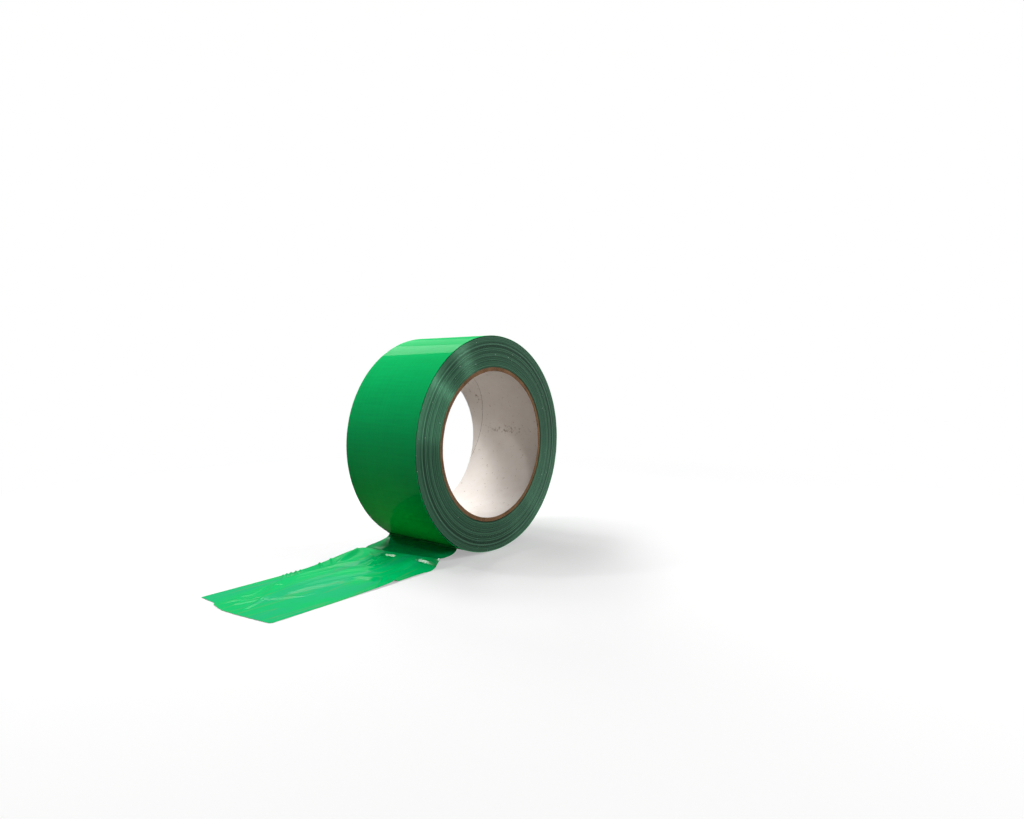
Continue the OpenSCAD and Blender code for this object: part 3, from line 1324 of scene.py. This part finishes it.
@dataclass(frozen=True)
class TailCourse:
    """The smooth way of the peeled film over the table, as runs and heights over the table.

    Pairs are for the front edge and the back edge of the film.
    """

    sizes: RollSizes
    peel_gap: float = 0.3
    peel_drop_deg: float = 70.0
    peel_pull: float = 2.7
    trough_h: float = 4.0
    crease_run: Pair = (11.7, 17.8)
    crease_h: Pair = (4.6, 3.4)
    fall_h: Pair = (1.9, 4.0)
    fall_run: Pair = (9.2, 45.0)
    handle: float = 0.5
    aim: float = 0.27
    curve_steps: int = 200

    @property
    def peel(self) -> Pair:
        """Run and height of the line where the film leaves the roll."""
        turn = math.radians(self.sizes.peel_deg)
        radius = self.sizes.roll_r + self.peel_gap
        return radius * math.sin(turn), -radius * math.cos(turn) - self.sizes.table_z

    def crease(self, v: np.ndarray) -> tuple[np.ndarray, np.ndarray]:
        """Run and height of the crease, for v from 0 at the front edge to 1 at the back."""
        return self.peel[0] + between(self.crease_run, v), between(self.crease_h, v)

    def bend(self, v: np.ndarray, t: np.ndarray) -> tuple[np.ndarray, np.ndarray]:
        """The film between the peel line and the crease.

        Args:
            v: Share of the way from the front edge to the back.
            t: Share of the way from the peel line to the crease.
        Returns:
            Runs and heights.
        """
        drop = math.radians(self.peel_drop_deg)
        peel_run, peel_h = self.peel
        crease_run, crease_h = self.crease(v)
        leave = peel_run + self.peel_pull * math.cos(drop), peel_h - self.peel_pull * math.sin(drop)
        arrive = crease_run - self.handle * (crease_run - peel_run)
        run = bezier(peel_run, leave[0], arrive, crease_run, t)
        return run, bezier(peel_h, leave[1], self.trough_h, crease_h, t)

    def fall(self, v: float, run: np.ndarray) -> np.ndarray:
        """The film past the crease.

        Args:
            v: Share of the way from the front edge to the back.
            run: Runs to work it out at.
        Returns:
            Heights.
        """
        crease_run, crease_h = self.crease(np.array(v))
        t = np.linspace(0, 1, self.curve_steps)
        there = crease_run + between(self.fall_run, v) * bezier(0, self.aim, 1 - self.handle, 1, t)
        return np.interp(run, there, bezier(crease_h, between(self.fall_h, v), 0, 0, t))


@dataclass(frozen=True)
class TailLength:
    """One of the tail's pieces: its first and last row, the bodies before and after its hinge, and its CAD
    nodes.
    """

    name: str
    rows: tuple[int, int]
    before: Body
    after: Body
    nodes: tuple[str, ...]


@dataclass
class TailFilm:
    """The film pulled off the roll: a lip at the peel line, a trough, a crease and a creased tail."""

    course: TailCourse
    hinges: Triple
    rest: float = 0.04
    lip_deg: Pair = (2.0, 0.3)
    lip_gap: float = 0.06
    steps_across: int = 110
    steps_lip: int = 7
    steps_bend: int = 40
    steps_fall: int = 150
    steps_panel: int = 26
    steps_end: int = 30
    # Power that crowds the rows towards the crease
    crowd: float = 1.6
    blend_half: float = 6.2
    moat: Moat = Moat()
    blister: Blister = Blister()
    streak_h: float = 0.075
    streaks: Ripple = Ripple(41, (30.0, 4.6), (90.0, 13.0))
    dimple_h: float = 0.045
    dimples: Ripple = Ripple(42, (6.0, 6.0), (16.0, 16.0))
    # Distances past the crease between which the folds and ripples set in
    folds_from: Pair = (2.2, 4.6)
    # The torn end: places across the film and their runs
    torn: tuple[Pair, ...] = (
        (-25, 130.3),
        (-24.2, 131.2),
        (-16, 132.6),
        (-6, 134.2),
        (3, 135.1),
        (6, 134.9),
        (12, 133.9),
        (13.6, 132.9),
        (15, 132.5),
        (18.5, 132.7),
        (25, 132.5),
    )
    tear_h: float = 0.12
    tear: Ripple = Ripple(51, (0.9, 300.0), (5.0, 900.0))
    # The front edge stands off the table on both sides of a nick: runs and heights
    front: tuple[Pair, ...] = ((44, 0.0), (52, 0.7), (68.6, 0.1), (69.4, 0.85), (80, 0.35), (96, 0.0))
    front_w: float = 4.5
    nick: Notch = Notch(69.3, 0.45, 0.7)
    puckers: tuple[Notch, ...] = (
        Notch(74, 0.7, 0.9),
        Notch(85.3, 0.35, 0.8),
        Notch(88, 0.3, 0.9),
        Notch(92.4, 0.3, 0.8),
        Notch(46.8, 1.4, 1.1),
    )
    edge_wave: float = 0.1
    edge_waves: Ripple = Ripple(31, (3.0, 300.0), (30.0, 900.0))
    # How far apart the two edges read their waves
    edge_apart: float = 100.0
    folds: tuple[Fold, ...] = (
        # The back rim of the long blister
        Fold(((117, 2.4), (110, 9.5), (104.7, 14.3), (97, 17.3), (88, 18.8), (75, 18)), 0.6, 2.8, 5.0),
        Fold(((92, 19), (75, 17.5), (66, 14), (61, 9), (58.3, 2)), 0.5, 3.2, 4.5),
        # Stretch ridges inside it
        Fold(((112, 0.5), (100, -0.5), (88, -3), (74.7, -5.5), (63, -8)), 0.45, 2.8, 3.8),
        Fold(((110, 5), (98, 8.2), (86, 8.6), (72, 6), (60, 0)), 0.35, 3.6, 3.0),
        Fold(((97, 14.6), (88, 15), (80, 13.6), (71, 11.5)), 0.35, 1.6, 2.4),
        Fold(((104, 3.5), (92, 3.4), (80, 1.8), (66, -2.5)), 0.28, 2.4, 3.0),
        # Creases that meet near the torn end
        Fold(((114, 1), (118, 2.8), (125, 4.2), (132, 7)), 0.4, 1.2, 2.2),
        Fold(((114, 4), (118, 2), (124, -1.4), (131, -3.5)), 0.35, 1.5, 1.2),
        Fold(((113, 0), (119, 6), (126, 10), (133, 10.5)), 0.38, 1.4, 1.8),
        Fold(((121, 4), (114, -2), (106, -7.5), (98, -9)), 0.3, 1.6, 1.6),
        Fold(((128, 13), (118, 11.2), (108, 15.5), (102, 19)), 0.32, 1.2, 1.8),
        # The fold that ends in the nick of the front edge
        Fold(((76, -4), (72.5, -11), (69.6, -18), (68.6, -26), (68, -30)), 0.9, 1.2, 4.2),
        Fold(((80, -24.5), (74, -20), (70, -17.5), (60, -16)), 0.4, 1.5, 2.2),
        # Facets between the crease and the blister, towards the back edge
        Fold(((72, 17), (62, 20), (54, 23), (48, 26)), 1.1, 1.5, 3.2),
        Fold(((47, 21), (53, 12.5), (57.5, 4.2), (60, -1)), 0.9, 3.5, 1.6),
        Fold(((46, 11), (51, 7), (58, 4), (64, 4)), 0.6, 1.6, 2.6),
        # Crinkles of the back edge
        Fold(((93.5, 26), (95, 22.5), (98, 19)), 0.55, 0.9, 0.9, 0.12),
        Fold(((91.5, 27), (93, 22.4), (95.5, 19.6)), 0.7, 0.8, 0.8, 0.12),
        Fold(((89.3, 27), (90.4, 23), (92.5, 20.4)), 0.6, 0.8, 0.8, 0.12),
        Fold(((86.6, 27), (88.4, 22), (91, 18.6)), 0.75, 0.9, 0.9, 0.12),
        Fold(((84.2, 27), (85.5, 23.5), (88, 21)), 0.5, 0.8, 0.8, 0.12),
        Fold(((73.6, 28), (74.8, 22.5), (77.5, 18)), 0.9, 0.9, 1.1, 0.12),
        Fold(((66.8, 27), (69, 21), (72, 17)), 0.6, 0.9, 1.2, 0.12),
        Fold(((105, 14.6), (104.2, 13), (102.8, 11.6)), 0.35, 0.6, 0.6, 0.1),
    )
    scarps: tuple[Scarp, ...] = (
        # The crease itself, and two short steps beside it
        Scarp((-27.0, 20.0), (0.0, 0.0), 1.2, (0.2, 0.75)),
        Scarp((0.5, 8.0), (1.5, 2.0), 1.1, (1.05, 1.07)),
        Scarp((-28.0, -12.0), (2.28, 1.12), 1.2, (0.34, 0.90), 0.32),
    )

    def edges(self, run: np.ndarray) -> tuple[np.ndarray, np.ndarray]:
        """Places of the front and back edges, drawn in where the film is creased.

        Args:
            run: Run of each point.
        Returns:
            The two edges' places across the film.
        """
        half = self.course.sizes.half_w
        front = -half + self.edge_wave * self.edge_waves.at(run, 0 * run) + self.nick.at(run)
        back = half - self.edge_wave * self.edge_waves.at(run, 0 * run + self.edge_apart)
        return front, back - sum(pucker.at(run) for pucker in self.puckers)

    def lift(self, run: np.ndarray, y: np.ndarray) -> np.ndarray:
        """Height of the folds, ridges and ripples over the film's smooth course.

        Args:
            run: Run of each point.
            y: Place of each point across the film.
        Returns:
            An array of heights.
        """
        sizes = self.course.sizes
        past = run - self.course.crease(y / sizes.tape_w + 0.5)[0]
        from_front = np.exp(-(y + sizes.half_w) / self.front_w)
        total = sum(fold.at(run, y) for fold in self.folds) + self.blister.at(run, y)
        total = total + np.interp(run, *zip(*self.front)) * from_front
        total = total + self.streak_h * self.streaks.at(run, y) + self.dimple_h * self.dimples.at(run, y)
        steps = sum(scarp.at(past, y) for scarp in self.scarps)
        return total * smooth_step(past, *self.folds_from) - self.moat.at(past, y) - steps

    def lip(self, v: np.ndarray) -> tuple[np.ndarray, np.ndarray, np.ndarray]:
        """The first rows, which lie under the last turn.

        Args:
            v: Shares of the way across the film.
        Returns:
            Runs, heights and runs on the flat film.
        """
        sizes = self.course.sizes
        past_peel = np.radians(np.linspace(*self.lip_deg, self.steps_lip))[:, None] + 0 * v
        angle = math.radians(sizes.peel_deg) + past_peel
        radius = sizes.roll_r + self.lip_gap
        flat_run = self.course.peel[0] - radius * past_peel
        return radius * np.sin(angle), -radius * np.cos(angle) - sizes.table_z, flat_run

    def laid_runs(self, v: np.ndarray) -> np.ndarray:
        """Runs of the rows from the crease to the torn end, for the shares v across the film."""
        first, second, third = self.hinges
        wide = (v - 0.5) * self.course.sizes.tape_w
        fall = np.linspace(0, 1, self.steps_fall + 1)[:-1, None] ** self.crowd
        panel = np.linspace(0, 1, self.steps_panel + 1)[:-1, None] + 0 * v
        end = np.linspace(0, 1, self.steps_end + 1)[:, None]
        ragged = self.tear_h * (self.tear.at(wide, 0 * wide) - 0.5)
        torn = np.interp(wide, *zip(*self.torn)) + ragged
        legs = ((self.course.crease(v)[0], first, fall), (first, second, panel))
        legs += ((second, third, panel), (third, torn, end))
        return np.concatenate([between((start, stop), share) for start, stop, share in legs])

    def grid(self) -> tuple[np.ndarray, np.ndarray]:
        """The film's underside.

        Returns:
            Its points as rows along the film and columns towards +Y, and their places on the flat film.
        """
        v = np.linspace(0, 1, self.steps_across + 1)[None, :]
        lip_run, lip_h, lip_flat = self.lip(v)
        bend_run, bend_h = self.course.bend(v, np.linspace(0, 1, self.steps_bend + 1)[:-1, None])
        laid_run = self.laid_runs(v)
        laid_h = np.stack([self.course.fall(s, laid_run[:, j]) for j, s in enumerate(v[0])], 1)
        run = np.concatenate([lip_run, bend_run, laid_run])
        height = np.concatenate([lip_h, bend_h, laid_h])
        front, back = self.edges(run)
        y = between((front, back), v)
        free = (np.arange(len(run)) >= self.steps_lip)[:, None]
        height = np.maximum(height + free * self.lift(run, y), self.rest)
        points = np.stack([-run, y, self.course.sizes.table_z + height], -1)
        return points, np.stack([np.concatenate([lip_flat, bend_run, laid_run]), y], -1)

    def finish(self) -> LaidFilm:
        """The film's upper face, with painted shade before the crease."""
        front_run, back_run = (float(run) for run in self.course.crease(np.array([0.0, 1.0]))[0])
        return LaidFilm((front_run + back_run) / 2, (back_run - front_run) / self.course.sizes.tape_w)

    def build(self) -> list[bpy.types.Object]:
        """Makes the film in three lengths, each holding one of the three hinge lines."""
        sizes = self.course.sizes
        under, flat = self.grid()
        out = np.cross(np.gradient(under, axis=1), np.gradient(under, axis=0))
        out /= np.linalg.norm(out, axis=-1, keepdims=True)
        over = under + sizes.film_t * out
        over[..., 1] = np.clip(over[..., 1], -sizes.half_w, sizes.half_w)
        root_end = self.steps_lip + self.steps_bend + self.steps_fall + self.steps_panel // 2
        mid_end = root_end + self.steps_panel
        near, mid, tip = Body.END_NEAR, Body.END_MID, Body.END_TIP
        root_nodes = ("tail_root", "tail_near")
        lengths = (
            TailLength("tail_film_root", (0, root_end), Body.PEELED_FILM, near, root_nodes),
            TailLength("tail_film_mid", (root_end, mid_end), near, mid, ("tail_mid",)),
            TailLength("tail_film_tip", (mid_end, len(under) - 1), mid, tip, ("tail_tip",)),
        )
        faces = (self.finish(), AdhesiveFace())
        made = []
        for hinge, length in zip(self.hinges, lengths):
            part = slice(length.rows[0], length.rows[1] + 1)
            piece = thin_shell(length.name, under[part], over[part], flat[part], faces)
            self.attach(piece, length, hinge)
            made.append(piece)
        return made

    def attach(self, piece: bpy.types.Object, length: TailLength, hinge: float) -> None:
        """Hides the CAD nodes that one length stands for, and bakes the piece's place into its mesh.

        Args:
            piece: Its object.
            length: What it stands for.
            hinge: Run of its hinge line; not used.
        """
        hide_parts(*length.nodes)
        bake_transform(piece)


@dataclass(frozen=True)
class ViewPoint:
    """The photograph's camera: place in millimetres, direction in degrees, focal length in pixels."""

    place: Triple = (-266.796, -250.023, 37.908)
    azimuth: float = -51.336
    elevation: float = 3.240
    roll: float = -0.321
    focal_px: float = 670.94
    image_w: int = 1024
    sensor: float = 36.0
    near: float = 10.0

    def build(self) -> bpy.types.Object:
        """Makes the camera and sets it as the scene's."""
        turn, rise, tilt = (math.radians(x) for x in (self.azimuth, self.elevation, self.roll))
        back = Vector((math.sin(turn) * math.cos(rise), -math.cos(turn) * math.cos(rise), math.sin(rise)))
        right = Vector((math.cos(turn), math.sin(turn), 0))
        up = back.cross(right)
        across = right * math.cos(tilt) + up * math.sin(tilt)
        above = up * math.cos(tilt) - right * math.sin(tilt)
        lens = bpy.data.cameras.new("camera")
        lens.sensor_fit = "HORIZONTAL"
        lens.sensor_width = self.sensor
        lens.lens = self.focal_px * self.sensor / self.image_w
        lens.clip_start = self.near * MM
        camera = link_object("camera", lens)
        axes = Matrix((across, above, back)).transposed().to_4x4()
        camera.matrix_world = Matrix.Translation(Vector(self.place) * MM) @ axes
        bpy.context.scene.camera = camera
        return camera


@dataclass(frozen=True)
class SoftBox:
    """A rectangular lamp that faces the roll: direction from it, distance, size, brightness and turn."""

    name: str
    toward: Triple
    distance: float
    size: Pair
    radiance: float
    turn: float = 0.0

    def build(self) -> bpy.types.Object:
        """Makes the lamp."""
        lamp = bpy.data.lights.new(self.name, "AREA")
        lamp.shape = "RECTANGLE"
        lamp.size, lamp.size_y = (side * MM for side in self.size)
        lamp.energy = math.pi * self.radiance * lamp.size * lamp.size_y
        made = link_object(self.name, lamp)
        toward = Vector(self.toward).normalized()
        facing = toward.to_track_quat("Z", "Y").to_matrix().to_4x4()
        spin = Matrix.Rotation(math.radians(self.turn), 4, "Z")
        made.matrix_world = Matrix.Translation(toward * self.distance * MM) @ facing @ spin
        made.visible_camera = False
        return made


@dataclass
class Studio:
    """A plain pale floor under a white surround, with soft lamps."""

    # Just under the table's level, so that no face of the film lies in the floor
    floor_z: float = -56.06
    floor_r: float = 2500.0
    fade: Pair = (150.0, 420.0)
    glow: float = 0.35
    ambient: float = 0.05
    floor_bounce: str = "#2E2723"
    lamps: tuple[SoftBox, ...] = (
        SoftBox("key", (0.03, 0.50, 0.86), 600.0, (195.0, 195.0), 12.2),
        SoftBox("key_left", (-0.32, 0.32, 0.89), 600.0, (195.0, 195.0), 9.6),
        SoftBox("left_low", (-0.72, 0.20, 0.66), 800.0, (150.0, 150.0), 4.2),
        SoftBox("spark", (-0.50, 0.55, 0.67), 800.0, (46.0, 46.0), 140.0),
        SoftBox("panel_high", (0.365, 0.69, 0.625), 900.0, (215.0, 280.0), 8.8, 45.0),
        SoftBox("panel_low", (0.565, 0.67, 0.475), 900.0, (225.0, 280.0), 2.8, 45.0),
        SoftBox("front_high", (0.487, -0.745, 0.452), 800.0, (80.0, 80.0), 104.0),
        SoftBox("front_low", (0.356, -0.90, 0.244), 800.0, (46.0, 46.0), 175.0),
        SoftBox("front_wide", (0.323, -0.94, 0.10), 800.0, (300.0, 300.0), 7.0),
    )

    def seen(self, nodes: NodeBench) -> Socket:
        """1 for rays that show the surround: from the camera, in reflections and through clear things."""
        ways = nodes.node("ShaderNodeLightPath").node.outputs
        shown = nodes.math("MAXIMUM", ways["Is Camera Ray"], ways["Is Glossy Ray"])
        return nodes.math("MAXIMUM", shown, ways["Is Transmission Ray"])

    def surround(self) -> None:
        """Sets the world: white where it is seen, and dimmer as light on the object."""
        world = bpy.data.worlds.new("surround")
        world.use_nodes = True
        nodes = NodeBench(world.node_tree)
        strength = nodes.ramp(self.seen(nodes), (0.0, 1.0), (self.ambient, 1.0))
        fill(world.node_tree.nodes["Background"], {"Color": linear(WHITE), "Strength": strength})
        bpy.context.scene.world = world

    def floor_card(self) -> bpy.types.Material:
        """Matt card that keeps the object's shadow, fades into the surround and is clear from below."""
        material = bpy.data.materials.new("floor_matt_card")
        material.use_nodes = True
        material.node_tree.nodes.clear()
        nodes = NodeBench(material.node_tree)
        seen = self.seen(nodes)
        card = nodes.node("ShaderNodeBsdfDiffuse", {"Color": nodes.mix(seen, self.floor_bounce, WHITE)})
        white = nodes.node("ShaderNodeEmission", {"Color": linear(WHITE), "Strength": 1.0})
        span = (self.fade[0] * MM, self.fade[1] * MM)
        away = nodes.length(nodes.place())
        far = nodes.ramp(away, span, (self.glow, 1.0), interpolation_type="SMOOTHSTEP")
        share = nodes.math("MULTIPLY", far, seen)
        top = nodes.node("ShaderNodeMixShader", {0: share, 1: card, 2: white})
        below = nodes.node("ShaderNodeNewGeometry", output="Backfacing")
        clear = nodes.node("ShaderNodeBsdfTransparent")
        both = nodes.node("ShaderNodeMixShader", {0: below, 1: top, 2: clear})
        nodes.node("ShaderNodeOutputMaterial", {"Surface": both})
        return material

    def floor(self) -> bpy.types.Object:
        """Makes the floor."""
        mesh = bpy.data.meshes.new("floor")
        reach = self.floor_r * MM
        signs = ((-1, -1), (1, -1), (1, 1), (-1, 1))
        corners = [(x * reach, y * reach, self.floor_z * MM) for x, y in signs]
        mesh.from_pydata(corners, [], [(0, 1, 2, 3)])
        mesh.materials.append(self.floor_card())
        made = link_object("floor", mesh)
        return made

    def build(self) -> None:
        """Sets the surround, the floor and the lamps."""
        self.surround()
        self.floor()
        for lamp in self.lamps:
            lamp.build()


def main() -> None:
    """Loads the frame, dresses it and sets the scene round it."""
    logging.basicConfig(level=logging.INFO, format="%(name)s: %(message)s")
    for leftover in list(bpy.data.objects):
        bpy.data.objects.remove(leftover)
    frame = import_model()
    bpy.context.scene.view_settings.view_transform = "Standard"
    ViewPoint().build()
    Studio().build()
    sizes = RollSizes()
    hinge_runs = tuple(-j["pos_m"][0] / MM for j in frame["joints"] if j["name"].startswith("tail_"))
    board = CoreBoard(sizes)
    board.dress(frame["nodes"])
    pieces = [
        WoundTurns(sizes).build(),
        OuterFilm(sizes).build(),
        BoreLiner(sizes).build(),
        board.build(),
        FaceDust(sizes).build(),
        *TailFilm(TailCourse(sizes), hinge_runs).build(),
    ]
    for piece in pieces:
        LOG.info("%s has %d faces", piece.name, len(piece.data.polygons))


if __name__ == "__main__":
    main()
